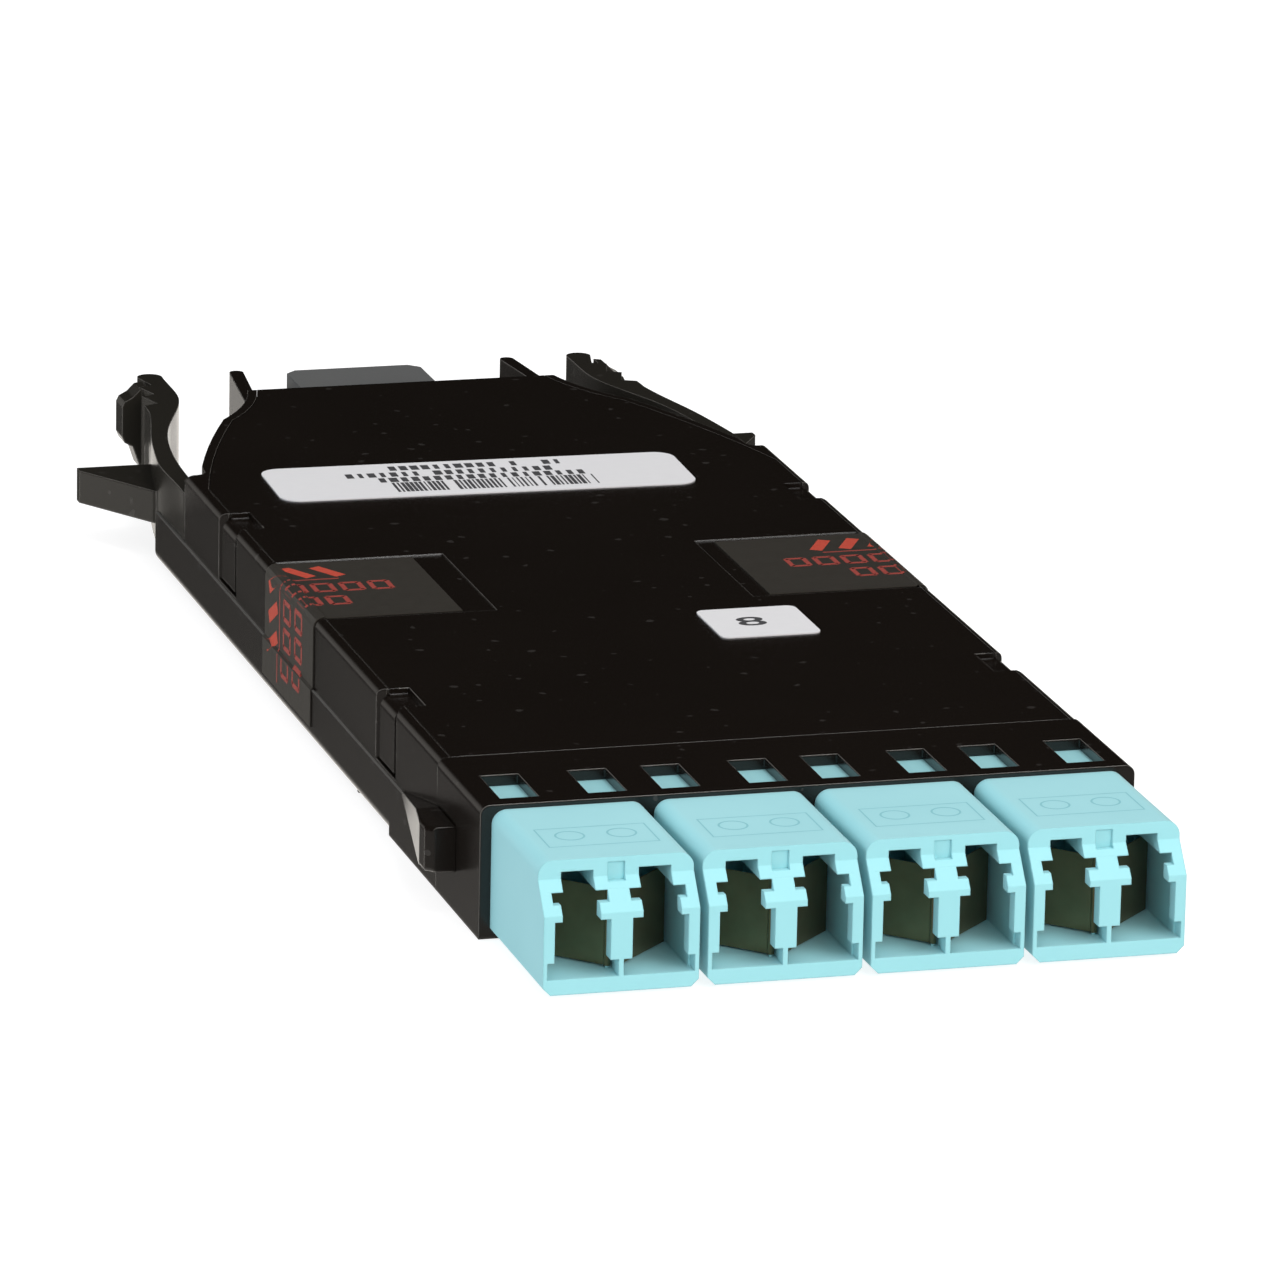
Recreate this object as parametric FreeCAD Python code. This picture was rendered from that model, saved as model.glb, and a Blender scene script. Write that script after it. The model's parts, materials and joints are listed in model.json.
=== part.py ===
"""Fibre cassette: a flat case with four shuttered duplex ports, a ribbon port behind and two latches."""
import FreeCAD
import Part
import math
import os

# All lengths are in millimetres. X runs across, Y from the ports to the latches, Z up.

# Front adapters
adapter_count = 4
adapter_pitch = 13.24
adapter_width = 12.53
adapter_height = 10.3
adapter_lift = 0.3
adapter_round = 1.2
nose_length = 15.9
brow_length = 13.9
brow_height = 9.1
chin_height = 6.7
tail_length = 12.0
tail_width = 12.0
tail_drop = 0.55
tail_lift = 0.9
groove_width = 1.4
groove_depth = 0.25
groove_floor = 8.7
groove_roof = 10.2

# The two ports of one adapter
port_pitch = 6.25
port_width = 4.5
port_axis_height = 3.85
port_floor = 1.55
port_roof = 8.2
stem_foot = 2.9
stem_foot_width = 0.4
mouth_depth = 1.3
mouth_flare = 0.56
slot_width = 2.6
slot_roof = 9.64
lip_reach = 0.6
lip_floor = 6.2
lip_roof = 7.4
bar_width = 3.4
chamber_depth = 11.4
chamber_wall = 0.5
web_thick = 0.2
middle_wall = 3.0
sleeve_collar_radius = 1.3
sleeve_radius = 0.81
sleeve_bore = 0.65
sleeve_length = 6.4
sleeve_slit = 0.3
ferrule_radius = 0.62

# Shutter leaves
leaf_length = 6.9
leaf_thick = 0.12
leaf_angle = 45.0
leaf_pin_radius = 0.15
leaf_bore = 0.2
leaf_knuckle = 0.28
leaf_pin_offset = 0.52
leaf_pin_back = 1.0
leaf_gap = 0.2

# Inner plugs, boots and fibres
plug_width = 4.4
plug_length = 12.0
plug_gap = 0.8
plug_clearance = 0.1
latch_width = 2.2
latch_rise = 2.0
latch_start = 2.0
latch_depth = 1.5
latch_lip = 0.6
latch_slot_start = 2.0
latch_slot_wall = 0.9
ferrule_seat = 2.0
boot_length = 10.0
boot_radius = 1.6
boot_tip_radius = 0.9
fibre_radius = 0.45
fibre_pitch = 1.25
fibre_run = 36.0
fibre_lead = 0.12

# Case
end_margin = 0.57
lip_above_adapters = 0.4
body_length = 130.5
bezel_length = 13.4
side_wall = 1.8
floor_thick = 1.5
cover_thick = 1.4
seam_inset = 1.1
fit_gap = 0.05
hair_gap = 0.02
overlap = 0.2
ledge_height = 4.75
ledge_step = 0.2
edge_round = 0.8
base_round = 1.2
plain_base_end = 28.5

# Rear taper of the case, as distances in from the side and back from the rear edge
taper_back = 33.3
taper_bulge = 0.55
shoulder_inset = 7.8
shoulder_back = 9.7
neck_inset = 9.6
neck_back = 7.1
rear_inset = 12.35
horn_length = 11.45
horn_width = 1.2
horn_height = 9.9
horn_tip_inset = 14.1
horn_tip_radius = 0.65
shelf_length = 9.0

# Bezel windows and pegs
window_offset = 3.6
window_width = 3.15
window_length = 6.3
window_start = 1.6
peg_radius = 0.45
peg_length = 3.0
peg_height = 8.7

# Snap notches of the cover
front_notch = 28.0
rear_notch_share = 0.6414
notch_length = 5.3
notch_floor = 5.0
notch_gap = 0.3
notch_flare = 0.7
snap_drop = 0.5
snap_thick = 1.0
snap_clearance = 0.1
snap_grip = 0.5
pocket_reach = 1.7

# Side detents
detent_front = 7.3
detent_root = 24.4
detent_reach = 2.45
detent_floor = 3.4
detent_top = 7.1
detent_nose = 2.1
detent_crest = 12.8
detent_round = 0.6
detent_thick = 0.8
detent_gap = 0.1
mouth_front = 17.0
mouth_foot = 18.2
mouth_floor = 0.5
mouth_step = 2.8
relief_front = 13.9
relief_bend = 22.0
relief_deep_start = 30.0
relief_end = 40.5
relief_roof = 4.3
relief_depth = 3.0
gully_depth = 4.75
gully_roof = 1.45
skirt = 0.5
relief_inset = 1.65

# Latch levers
lever_floor = 1.5
lever_top = 9.2
lever_root_back = 27.3
lever_foot_back = 17.2
lever_foot_thick = 1.9
lever_reach = 14.5
lever_angle = 6.0
knuckle_radius = 0.9
knuckle_gap = 0.1
tooth_pitch = 3.4
tooth_count = 3
tooth_depth = 1.3
tooth_run = 0.6
tooth_drift = 0.5
first_tooth = (3.65, 30.4)
head_radius = 1.15
head_inset = 6.45
# Stations of the arm's two faces, as distances in from the side and back from the root
lever_outside = ((0.2, 0.0), (0.2, 5.0), (0.25, 10.0), (0.55, 12.4), (1.0, 15.4), (1.7, 19.3), (2.75, 23.9),
                 (3.55, 28.2))
lever_inside = ((7.55, 35.5), (7.3, 32.3), (6.6, 29.6), (5.45, 26.4), (4.2, 22.9), (3.15, 18.9), (2.4, 14.3),
                (1.95, 9.0), (1.8, 0.0))
barb_floor = 3.25
barb_top = 6.25
barb_tip_back = 7.4
barb_reach = 4.8
barb_run = 8.1
barb_land = 1.0
barb_root = 1.2
barb_depth = 3.0
pad_reach = 10.6
pad_length = 2.6
pad_outline = ((5.4, 1.5), (4.65, 1.7), (3.95, 3.7), (3.2, 4.1), (2.95, 4.7),
               (2.95, 7.5), (3.2, 8.0), (3.95, 8.4),
               (4.65, 9.1), (5.4, 9.2))

# Ribbon adapter at the rear, and its plug
mpo_offset = -1.75
mpo_width = 12.8
mpo_reach = 11.8
mpo_depth = 25.3
mpo_port_width = 9.8
mpo_port_height = 6.2
mpo_middle_back = 2.3
mpo_middle_wall = 1.4
mpo_flange = 1.0
mpo_flange_thick = 1.7
mpo_flange_drop = 0.4
mpo_chamfer = 1.0
mpo_plug_width = 9.4
mpo_plug_height = 5.8
mpo_plug_length = 21.0
mt_width = 6.4
mt_height = 2.5
mt_length = 8.0
mt_proud = 1.6
guide_pin_radius = 0.35
guide_pin_pitch = 4.6
guide_pin_proud = 2.4
mpo_boot_length = 9.0
mpo_boot_width = 5.4
mpo_boot_height = 3.6
ribbon_width = 3.1
ribbon_thick = 0.4
fanout_length = 11.0
fanout_height = 4.0
fanout_margin = 1.2

# Seals and labels
film = 0.1
seal_recess = 0.12
seal_length = 17.0
seal_recess_margin = 0.6
seal_recess_inner = 11.2
left_seal_share = 0.4215
left_seal_inner = 14.05
right_seal_share = 0.4184
right_seal_inner = 12.85
seal_foot = 1.5
id_label_size = (37.6, 11.0)
id_label_x = -1.65
id_label_back = 34.0
id_label_turn = -1.7
id_label_round = 1.8
polarity_label_size = (8.7, 8.5)
polarity_label_centre = (9.3, 46.2)
polarity_label_round = 0.8

# Worked out from the sizes above
body_half = adapter_pitch * adapter_count / 2 + end_margin
adapter_top = adapter_lift + adapter_height
body_height = adapter_top + lip_above_adapters
cover_floor = body_height - cover_thick
tail_top = adapter_top - tail_drop
adapter_centres = [(k - (adapter_count - 1) / 2) * adapter_pitch for k in range(adapter_count)]
stem_half = (port_pitch - port_width) / 2
port_outer = port_pitch / 2 + port_width / 2
chamber_front = -nose_length + mouth_depth
chamber_back = -nose_length + chamber_depth
tail_cavity_front = chamber_back + middle_wall
sleeve_middle = (chamber_back + tail_cavity_front) / 2
leaf_pin_y = chamber_front + leaf_pin_back
plug_nose = sleeve_middle + sleeve_length / 2 + plug_gap
notch_starts = (front_notch, body_length * rear_notch_share)
lever_root = body_length - lever_root_back
lever_tip = body_length + lever_reach
lever_foot_end = body_length - lever_foot_back
knuckle_x = body_half - ledge_step - knuckle_radius
barb_tip = body_length - barb_tip_back
mpo_rear = body_length + mpo_reach
mpo_front = mpo_rear - mpo_depth
mpo_middle = body_length - mpo_middle_back
left_seal_start = body_length * left_seal_share
right_seal_start = body_length * right_seal_share
id_label_centre = (id_label_x, body_length - id_label_back)
mpo_top = cover_floor - fit_gap
mpo_axis = (floor_thick + mpo_top) / 2
fanout_front = plug_nose + plug_length + boot_length + fibre_run
y_middle = (lever_tip - nose_length) / 2


def point(x, y, z=0.0):
    return FreeCAD.Vector(x, y, z)


def box(x0, x1, y0, y1, z0, z1):
    return Part.makeBox(x1 - x0, y1 - y0, z1 - z0, point(x0, y0, z0))


def rod(radius, start, end):
    return Part.makeCylinder(radius, (end - start).Length, start, end - start)


def joined(shapes):
    """One solid from several that meet."""
    return shapes[0].multiFuse(shapes[1:]).removeSplitter()


def polygon_prism(corners, along):
    """Prism on a flat polygon of 3-D corners, swept by a vector."""
    return Part.Face(Part.makePolygon(corners + corners[:1])).extrude(along)


def plan_prism(corners, z0, z1):
    return polygon_prism([point(x, y, z0) for x, y in corners], point(0, 0, z1 - z0))


def side_prism(corners, x0, x1):
    """Prism along X on corners given as (y, z)."""
    return polygon_prism([point(x0, y, z) for y, z in corners], point(x1 - x0, 0, 0))


def front_prism(corners, y0, y1):
    """Prism along Y on corners given as (x, z)."""
    return polygon_prism([point(x, y0, z) for x, z in corners], point(0, y1 - y0, 0))


def mirrored(shape):
    return shape.mirror(point(0, 0, 0), point(1, 0, 0))


def edges_at_height(shape, z):
    """The edges of a prism that lie wholly in one level."""
    return [e for e in shape.Edges if max(abs(e.BoundBox.ZMin - z), abs(e.BoundBox.ZMax - z)) < 1e-4]


def edges_along_y(shape, z):
    """The long edges along Y at one height."""
    return [e for e in edges_at_height(shape, z) if e.BoundBox.XLength < 1e-4]


def rounded_plate(size, radius, z0, z1):
    """Plate centred on the Z axis, with round corners."""
    width, length = size
    plate = box(-width / 2, width / 2, -length / 2, length / 2, z0, z1)
    upright = [e for e in plate.Edges if e.BoundBox.ZLength > 1e-4]
    return plate.makeFillet(radius, upright)


# ---------------------------------------------------------------- case

def case_face(inset, rear):
    """Plan of the case, drawn in by inset from its sides and from a rear edge at the given Y."""
    side = point(body_half, body_length - taper_back)
    shoulder = point(body_half - shoulder_inset, body_length - shoulder_back)
    neck = point(body_half - neck_inset, body_length - neck_back)
    corner = point(body_half - rear_inset, body_length)
    chord = shoulder - side
    outward = point(chord.y, -chord.x).normalize() * taper_bulge
    bend = side + chord * 0.5 + outward
    right = [
        Part.LineSegment(point(body_half, -nose_length), side).toShape(),
        Part.Arc(side, bend, shoulder).toShape(),
        Part.Arc(shoulder, neck, corner).toShape(),
    ]
    if rear > body_length:
        right.append(Part.LineSegment(corner, point(corner.x, rear)).toShape())
    left = [mirrored(edge) for edge in right]
    ends = [
        Part.LineSegment(point(-corner.x, rear), point(corner.x, rear)).toShape(),
        Part.LineSegment(point(-body_half, -nose_length), point(body_half, -nose_length)).toShape(),
    ]
    face = Part.Face(Part.Wire(Part.__sortEdges__(right + left + ends)))
    return face.makeOffset2D(-inset) if inset else face


def case_prism(inset, z0, z1, rear=body_length):
    """Straight-sided block on the case's plan, behind the bezel."""
    block = case_face(inset, rear).extrude(point(0, 0, z1 - z0))
    block.translate(point(0, 0, z0))
    return block.common(box(-body_half, body_half, bezel_length, rear, z0, z1))


def tray_shell():
    """Outside of the tray: a proud lower part, a slimmer upper part with round edges, and the cavity."""
    lower = case_prism(0, 0, ledge_height)
    lower = lower.makeFillet(base_round, long_edges(lower, 0))
    front_block = box(-body_half, body_half, bezel_length, plain_base_end, 0, ledge_height)
    upper = case_prism(ledge_step, ledge_height, body_height, body_length + ledge_step)
    straight = [e for e in long_edges(upper, body_height) if e.BoundBox.YMin < bezel_length + 1e-3]
    upper = upper.makeFillet(edge_round, straight)
    shell = joined([lower, front_block, upper])
    return shell.cut(case_prism(side_wall, floor_thick, body_height))


def cover_seat():
    """Room for the cover between the tray's walls."""
    seat = case_prism(seam_inset - fit_gap, cover_floor - fit_gap, body_height + 1, body_length + seam_inset)
    return seat.common(box(-body_half, body_half, 0, body_length + fit_gap, 0, body_height + 1))


def long_edges(block, z):
    """Outline edges of a case block at one height, without its straight front and rear ends."""
    ends = (bezel_length, block.BoundBox.YMax)
    return [e for e in edges_at_height(block, z)
            if not any(abs(e.BoundBox.YMin - y) < 1e-3 and abs(e.BoundBox.YMax - y) < 1e-3 for y in ends)]


def horn():
    """Post on the tray beside the ribbon adapter, tapering to a round tip."""
    outer = body_half - rear_inset
    inner = outer - horn_width
    tip_x = body_half - horn_tip_inset
    tip_y = body_length + horn_length - horn_tip_radius
    root = body_length - side_wall
    blade = plan_prism([(inner, root), (outer, root), (outer, body_length), (tip_x + horn_tip_radius, tip_y),
                        (tip_x - horn_tip_radius, tip_y), (inner, body_length)], 0, horn_height)
    tip = rod(horn_tip_radius, point(tip_x, tip_y, 0), point(tip_x, tip_y, horn_height))
    return blade.fuse(tip)


def detent():
    """Boss proud of the side, with a wedge behind it that narrows back to the ledge."""
    outer = body_half + detent_reach
    inner = body_half - detent_thick
    plan = plan_prism([(inner, detent_front), (outer - detent_round, detent_front),
                       (outer, detent_front + detent_round), (outer, detent_front + detent_nose),
                       (body_half, detent_root), (inner, detent_root)], detent_floor, detent_top)
    profile = side_prism([(detent_front, detent_floor), (detent_front + detent_nose, detent_floor),
                          (detent_root, ledge_height - ledge_step), (detent_root, ledge_height + ledge_step),
                          (detent_crest, detent_top), (detent_front, detent_top)], inner, outer)
    wedge = plan.common(profile)
    rounding = [e for e in wedge.Edges if e.BoundBox.XMin > outer - detent_round - 0.01
                and e.BoundBox.YMax < detent_crest]
    return wedge.makeFillet(detent_round / 2, rounding)


def detent_bed():
    """Room for the boss in the side of the bezel."""
    return box(body_half - detent_thick - detent_gap, body_half + 1,
               detent_front - detent_gap, bezel_length + 1, detent_floor - detent_gap, detent_top + detent_gap)


def relief_plan(grow):
    """Plan of the hollow under a detent, grown by the wall that closes it inside."""
    thin = body_half - relief_inset - grow
    deep = body_half - relief_depth - grow
    return [(body_half - skirt, relief_front - grow), (thin, relief_front - grow), (thin, relief_bend),
            (deep, relief_deep_start), (deep, relief_end + grow), (body_half - skirt, relief_end + grow)]


def gully(grow):
    """Low hollow beside the relief, grown by its wall."""
    return box(body_half - gully_depth - grow, body_half - relief_depth, relief_deep_start - grow,
               relief_end + grow, -1 + grow * 2, gully_roof + grow)


def side_relief():
    """Hollow under a detent, open below, with its slanted mouth in the side wall."""
    hollow = plan_prism(relief_plan(0), -1, relief_roof)
    crown = ledge_height - ledge_step
    mouth = side_prism([(mouth_front, mouth_floor), (mouth_foot, mouth_floor), (detent_root, crown),
                        (relief_front, crown), (relief_front, mouth_step), (mouth_front, mouth_step)],
                       body_half - relief_inset, body_half + 1)
    return hollow.fuse([mouth, gully(0)])


def notch(start):
    """Recess in the tray's wall for one snap of the cover, flared at the outside."""
    end = start + notch_length
    inner = body_half - side_wall - 1
    face = body_half - ledge_step
    right = face + notch_flare
    return plan_prism([(inner, start), (face - notch_flare, start), (right, start - 2 * notch_flare),
                       (right, end + 2 * notch_flare), (face - notch_flare, end), (inner, end)],
                      notch_floor, body_height + 1)


def lever_foot():
    """The tray's side wall carried on past the start of the taper: low under the lever, high up to its root."""
    start = body_length - taper_back - lever_foot_thick
    inner = body_half - lever_foot_thick
    low = box(inner, body_half, start, lever_foot_end, 0, ledge_height)
    rear = [e for e in low.Edges if e.BoundBox.YMin > lever_foot_end - 1e-4 and e.BoundBox.XLength > 1e-4
            and e.BoundBox.ZMax < 1e-4]
    side = [e for e in edges_along_y(low, 0) if e.BoundBox.XMin > body_half - 1e-4]
    low = low.makeFillet(base_round, rear + side)
    high = box(inner, body_half - ledge_step, start, lever_root - knuckle_gap, ledge_height, body_height)
    top = [e for e in edges_along_y(high, body_height) if e.BoundBox.XMin > body_half - ledge_step - 1e-4]
    return low.fuse(high.makeFillet(edge_round, top))


def lever_seat():
    """Room for a lever behind the tray's side wall, with a round seat for its knuckle."""
    seat = rod(knuckle_radius + knuckle_gap, point(knuckle_x, lever_root, ledge_height),
               point(knuckle_x, lever_root, body_height + 1))
    inner = knuckle_x - knuckle_radius - knuckle_gap
    end = lever_foot_end + 1
    sweep = (end - lever_root) * math.tan(math.radians(lever_angle))
    room = plan_prism([(inner, lever_root), (body_half + 1, lever_root), (body_half + 1, end),
                       (inner - sweep, end)], ledge_height, body_height + 1)
    return seat.fuse(room)


def base_tray():
    """Bottom shell with side walls, horns and detents."""
    inner_wall = plan_prism(relief_plan(skirt), 0, relief_roof + skirt)
    shelf_half = body_half - rear_inset
    shelf = box(-shelf_half, shelf_half, body_length - side_wall, body_length + shelf_length, 0, floor_thick)
    one_side = [inner_wall, gully(skirt), horn(), lever_foot()]
    tray = joined([tray_shell(), shelf] + one_side + [mirrored(s) for s in one_side])
    cuts = [side_relief(), lever_seat(), peg(fit_gap)] + [notch(s) for s in notch_starts]
    window = box(mpo_offset - mpo_width / 2 - fit_gap, mpo_offset + mpo_width / 2 + fit_gap,
                 body_length - side_wall - 1, body_length + 1, floor_thick, body_height)
    tray = tray.cut(Part.makeCompound(cuts + [mirrored(c) for c in cuts] + [window, cover_seat()]))
    tray = tray.cut(box(-body_half - 1, body_half + 1, 0, bezel_length, 0, body_height + 1))
    return joined([tray, detent(), mirrored(detent())])


def snap(start):
    """Tab on the cover's edge that hooks down over the tray's wall."""
    y0 = start + notch_gap
    y1 = start + notch_length - notch_gap
    outer = body_half - ledge_step - snap_clearance
    top = body_height - snap_drop
    bridge = box(body_half - seam_inset - pocket_reach - snap_grip, outer, y0, y1, cover_floor, top)
    leg = box(outer - snap_thick, outer, y0, y1, notch_floor + notch_gap, top)
    hook = joined([bridge, leg])
    return hook.makeFillet(edge_round, [e for e in edges_along_y(hook, top) if e.BoundBox.XMin > outer - 1e-4])


def pocket(start):
    """Small well in the cover beside a snap."""
    inner = body_half - seam_inset - pocket_reach
    return box(inner, body_half, start, start + notch_length, body_height - snap_drop, body_height + 1)


def seal_well(start, sign):
    """Shallow well in the cover for a seal."""
    x = sorted([sign * seal_recess_inner, sign * body_half])
    return box(x[0], x[1], start - seal_recess_margin, start + seal_length + seal_recess_margin,
               body_height - seal_recess, body_height + 1)


def top_cover():
    """Flat lid between the tray's walls, with four snaps and two shallow wells for the seals."""
    plate = case_prism(seam_inset, cover_floor, body_height, body_length + seam_inset)
    plate = plate.common(box(-body_half, body_half, bezel_length + fit_gap, body_length, 0, body_height))
    wells = [seal_well(left_seal_start, -1), seal_well(right_seal_start, 1)]
    pockets = [pocket(s) for s in notch_starts]
    plate = plate.cut(Part.makeCompound(wells + pockets + [mirrored(p) for p in pockets]))
    snaps = [snap(s) for s in notch_starts]
    return joined([plate] + snaps + [mirrored(s) for s in snaps])


def peg(grow):
    """Round peg between the bezel and one of the tray's walls."""
    x = body_half - side_wall / 2
    return rod(peg_radius + grow, point(x, bezel_length - 1, peg_height),
               point(x, bezel_length + peg_length + grow, peg_height))


def front_bezel():
    """Frame that holds the adapters, with two windows over each."""
    frame = box(-body_half, body_half, 0, bezel_length, 0, body_height)
    frame = frame.makeFillet(edge_round, edges_along_y(frame, body_height))
    cuts = [detent_bed(), mirrored(detent_bed())]
    for x in adapter_centres:
        half = tail_width / 2 + fit_gap
        cuts.append(box(x - half, x + half, -1, bezel_length + 1, tail_lift - fit_gap, tail_top + fit_gap))
        for side in (-1, 1):
            middle = x + side * window_offset
            cuts.append(box(middle - window_width / 2, middle + window_width / 2,
                            window_start, window_start + window_length, tail_top, body_height + 1))
    frame = frame.cut(Part.makeCompound(cuts))
    return joined([frame, peg(0), mirrored(peg(0))])


# ---------------------------------------------------------------- front adapters

def adapter_block():
    """Outside of a duplex adapter before its ports are cut."""
    half = adapter_width / 2
    nose = box(-half, half, -nose_length, 0, adapter_lift, adapter_top)
    nose = nose.makeFillet(adapter_round, edges_along_y(nose, adapter_top))
    nose = nose.makeChamfer(adapter_round / 2, edges_along_y(nose, adapter_lift))
    tail = box(-tail_width / 2, tail_width / 2, 0, tail_length, tail_lift, tail_top)
    return nose.fuse(tail)


def port_cuts():
    """Everything removed for the port on the +X side."""
    middle = port_pitch / 2
    front = -nose_length - 1
    mouth = box(stem_half, port_outer, front, chamber_front, stem_foot, port_roof)
    foot = box(stem_foot_width / 2, port_outer + mouth_flare, front, chamber_front, port_floor, stem_foot)
    slot = box(middle - slot_width / 2, middle + slot_width / 2, front, chamber_back, port_roof - 1, slot_roof)
    chamber = box(web_thick / 2, adapter_width / 2 - chamber_wall, chamber_front, chamber_back,
                  port_floor, port_roof)
    back_half = port_width / 2 + plug_clearance
    back = box(middle - back_half, middle + back_half, tail_cavity_front, tail_length + 1,
               port_floor, port_floor + 2 * back_half)
    slot_front = tail_cavity_front + latch_slot_start
    back_slot = box(middle - slot_width / 2, middle + slot_width / 2, slot_front, tail_length + 1,
                    port_floor + port_width, tail_top - latch_slot_wall)
    return joined([mouth, foot, chamber, slot]).fuse(back.fuse(back_slot))


def sleeve_collar():
    """Round collar through the middle wall that carries the alignment sleeve."""
    x = port_pitch / 2
    reach = sleeve_length / 2
    return rod(sleeve_collar_radius, point(x, sleeve_middle - reach, port_axis_height),
               point(x, sleeve_middle + reach, port_axis_height))


def sleeve_bore_cut():
    x = port_pitch / 2
    reach = sleeve_length / 2 + 1
    return rod(sleeve_radius + hair_gap, point(x, sleeve_middle - reach, port_axis_height),
               point(x, sleeve_middle + reach, port_axis_height))


def port_lips():
    """Guide lip at the outer side of a port, and half of the bar on the divider."""
    lip = box(port_outer - lip_reach, port_outer + overlap, -nose_length, chamber_front, lip_floor, lip_roof)
    bar = box(-overlap, bar_width / 2, -nose_length, chamber_front, lip_floor, lip_roof)
    return [lip, bar]


def leaf_pin(side):
    return rod(leaf_pin_radius, point(side * leaf_pin_offset, leaf_pin_y, port_floor - overlap),
               point(side * leaf_pin_offset, leaf_pin_y, port_roof + overlap))


def adapter():
    """Duplex adapter: two square ports with latch slots, a divider with a T-bar and a sloping brow."""
    block = adapter_block()
    cuts = port_cuts()
    block = block.cut(cuts.fuse(mirrored(cuts)))
    additions = [sleeve_collar()] + port_lips()
    additions += [mirrored(a) for a in additions]
    block = joined([block] + additions)
    bores = sleeve_bore_cut()
    front = -nose_length - 1
    slope = side_prism([(front, adapter_top + 1), (-brow_length, adapter_top + 1), (-brow_length, brow_height),
                        (-nose_length, chin_height), (front, chin_height)], -adapter_width, adapter_width)
    groove = box(-groove_width / 2, groove_width / 2, front, groove_depth - brow_length,
                 groove_floor, groove_roof)
    block = block.cut(Part.makeCompound([bores, mirrored(bores), slope, groove]))
    return joined([block, leaf_pin(1), leaf_pin(-1)])


def shutter_leaf():
    """Sheet-metal leaf of the +X port: a curled knuckle on the pin and a flat plate."""
    z0 = port_floor + leaf_gap
    z1 = port_roof - leaf_gap
    plate = box(0, leaf_length, -leaf_thick / 2, leaf_thick / 2, z0, z1)
    knuckle = rod(leaf_knuckle, point(0, 0, z0), point(0, 0, z1))
    bore = rod(leaf_bore, point(0, 0, z0 - 1), point(0, 0, z1 + 1))
    leaf = knuckle.fuse(plate).cut(bore).removeSplitter()
    leaf.rotate(point(0, 0, 0), point(0, 0, 1), leaf_angle)
    leaf.translate(point(leaf_pin_offset, leaf_pin_y, 0))
    return leaf


def alignment_sleeve():
    """Split sleeve that lines up two ferrules."""
    x = port_pitch / 2
    start = point(x, sleeve_middle - sleeve_length / 2, port_axis_height)
    end = point(x, sleeve_middle + sleeve_length / 2, port_axis_height)
    tube = rod(sleeve_radius, start, end).cut(rod(sleeve_bore, start, end))
    slit = box(x - sleeve_slit / 2, x + sleeve_slit / 2, start.y - 1, end.y + 1,
               port_axis_height, port_axis_height + sleeve_radius + 1)
    return tube.cut(slit)


def inner_plug():
    """Plug of one fibre, pushed into an adapter from inside the case, with its sloping latch."""
    half = plug_width / 2
    x = port_pitch / 2
    end = plug_nose + plug_length
    top = port_axis_height + half
    body = box(x - half, x + half, plug_nose, end, port_axis_height - half, top)
    root = plug_nose + latch_start
    high = top + latch_rise
    latch = side_prism([(root, top), (end - latch_lip, high), (end, high), (end, high - latch_lip),
                        (root + latch_depth, top)], x - latch_width / 2, x + latch_width / 2)
    bore = rod(ferrule_radius, point(x, plug_nose - 1, port_axis_height),
               point(x, end - ferrule_seat, port_axis_height))
    return body.fuse(latch).cut(bore).removeSplitter()


def inner_ferrule():
    x = port_pitch / 2
    return rod(ferrule_radius, point(x, sleeve_middle, port_axis_height),
               point(x, plug_nose + plug_length - ferrule_seat, port_axis_height))


def inner_boot():
    """Tapered boot behind a plug."""
    start = point(port_pitch / 2, plug_nose + plug_length, port_axis_height)
    return Part.makeCone(boot_radius, boot_tip_radius, boot_length, start, point(0, 1, 0))


# ---------------------------------------------------------------- fibres and rear adapter

def cord(points, radius):
    """Round cord along straight runs joined by the largest tangent arcs that fit."""
    edges = []
    last = points[0]
    for before, corner, after in zip(points, points[1:], points[2:]):
        back = (before - corner).normalize()
        ahead = (after - corner).normalize()
        half_turn = (math.pi - back.getAngle(ahead)) / 2
        reach = 0.45 * min((before - corner).Length, (after - corner).Length)
        bend = reach / math.tan(half_turn)
        start = corner + back * reach
        end = corner + ahead * reach
        inward = (back + ahead).normalize()
        middle = corner + inward * (bend / math.cos(half_turn) - bend)
        edges.append(Part.LineSegment(last, start).toShape())
        edges.append(Part.Arc(start, middle, end).toShape())
        last = end
    edges.append(Part.LineSegment(last, points[-1]).toShape())
    circle = Part.Circle(points[0], points[1] - points[0], radius).toShape()
    return Part.Wire(edges).makePipeShell([Part.Wire(circle)], True, False)


def fibre_legs():
    """One jacketed fibre from each boot, gathered into the fan-out block."""
    start = plug_nose + plug_length + boot_length
    ports = [x + side * port_pitch / 2 for x in adapter_centres for side in (-1, 1)]
    legs = []
    for k, x in enumerate(ports):
        end_x = mpo_offset + (k - (len(ports) - 1) / 2) * fibre_pitch
        legs.append(cord([point(x, start, port_axis_height),
                          point(x, start + fibre_run * fibre_lead, port_axis_height),
                          point(end_x, start + fibre_run * (1 - fibre_lead), port_axis_height),
                          point(end_x, start + fibre_run, port_axis_height)], fibre_radius))
    return Part.makeCompound(legs)


def fanout_block():
    half = (2 * adapter_count - 1) * fibre_pitch / 2 + fanout_margin
    return box(mpo_offset - half, mpo_offset + half, fanout_front, fanout_front + fanout_length,
               floor_thick, port_axis_height + fanout_height / 2)


def fibre_ribbon():
    start = fanout_front + fanout_length
    end = mpo_middle - mpo_plug_length - mpo_boot_length
    half = ribbon_width / 2
    low = mpo_axis - ribbon_thick / 2
    drop = port_axis_height - mpo_axis
    bend = (end - start) / 4
    low_side = [(start, low + drop), (start + bend, low + drop), (end - bend, low), (end, low)]
    high_side = [(y, z + ribbon_thick) for y, z in reversed(low_side)]
    return side_prism(low_side + high_side, mpo_offset - half, mpo_offset + half)


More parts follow.
